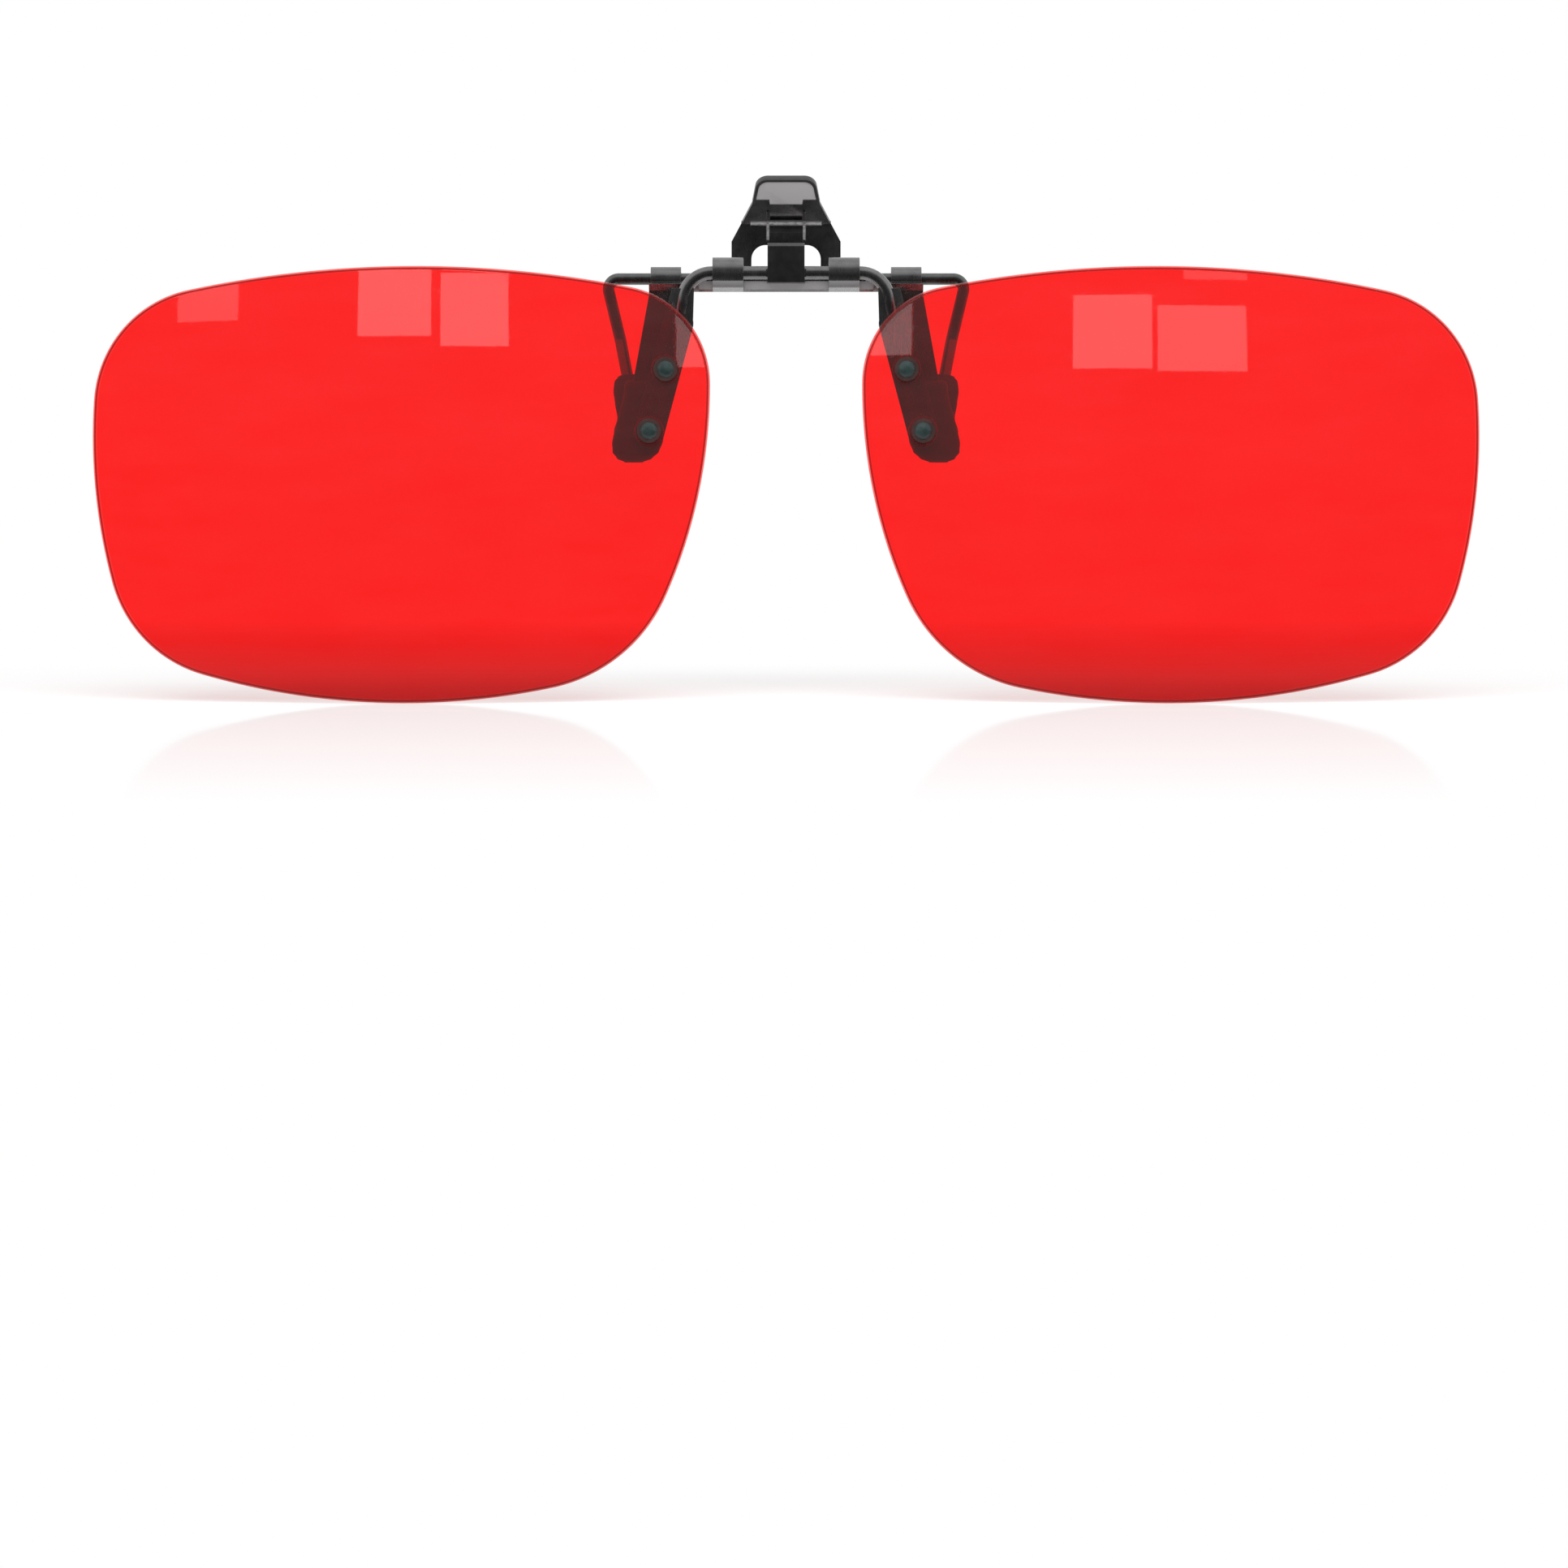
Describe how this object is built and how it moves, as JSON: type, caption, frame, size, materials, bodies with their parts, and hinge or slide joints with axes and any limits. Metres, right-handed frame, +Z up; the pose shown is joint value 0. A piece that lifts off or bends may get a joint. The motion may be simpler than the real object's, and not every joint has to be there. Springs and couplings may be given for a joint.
{
  "type": "clip-on sunglasses",
  "caption": "Flip-up clip-on sunglasses: two red rimless lenses on a flip bridge, with a spring clamp that grips spectacle lenses.",
  "frame": {"origin": "on the mirror plane, in the middle of the whole depth, at the height of the lenses' lowest points, with the lenses hanging and the jaws holding a 2.2 mm lens", "axes": "+X to the right as seen from the front, +Y towards the wearer, +Z up"},
  "size_m": [0.1346, 0.0177, 0.0513],
  "materials": {
    "red_lens": "polished tinted lens, red",
    "gunmetal_sheet": "satin gunmetal plating",
    "gunmetal_rod": "satin gunmetal plating",
    "gunmetal_lever": "satin gunmetal plating",
    "gunmetal_wire": "satin gunmetal plating",
    "spring_steel": "dark spring steel",
    "rivet_steel": "polished dark steel",
    "boot_rubber": "matte black rubber",
    "nylon": "black nylon",
    "clear_plastic": "clear moulded plastic",
    "cap_plastic": "black moulded plastic"
  },
  "bodies": {
    "clamp_frame": {"clamp_frame": "gunmetal_sheet", "lug_bushes": "nylon", "detent_leaf": "spring_steel", "leaf_rivets": "rivet_steel", "right_front_boot": "boot_rubber", "left_front_boot": "boot_rubber", "right_torsion_spring": "spring_steel", "left_torsion_spring": "spring_steel"},
    "lens_carrier": {"lens_bridge": "gunmetal_rod", "right_lens": "red_lens", "left_lens": "red_lens", "right_lens_bushings": "clear_plastic", "left_lens_bushings": "clear_plastic", "right_lens_washers": "nylon", "left_lens_washers": "nylon", "right_lens_rivets": "rivet_steel", "left_lens_rivets": "rivet_steel"},
    "clamp_lever": {"thumb_lever": "gunmetal_lever", "thumb_cap": "cap_plastic", "rear_wire": "gunmetal_wire", "right_rear_boot": "boot_rubber", "left_rear_boot": "boot_rubber"}
  },
  "joints": [
    {"name": "lens_flip", "type": "hinge", "parent": "clamp_frame", "child": "lens_carrier", "pos_m": [0, -0.00344, 0.0417], "axis": [-1, 0, 0], "range_deg": [0, 130]},
    {"name": "clamp_open", "type": "hinge", "parent": "clamp_frame", "child": "clamp_lever", "pos_m": [0, 0.00766, 0.0411], "axis": [1, 0, 0], "range_deg": [-7, 25], "deforming": ["right_torsion_spring", "left_torsion_spring"]}
  ]
}
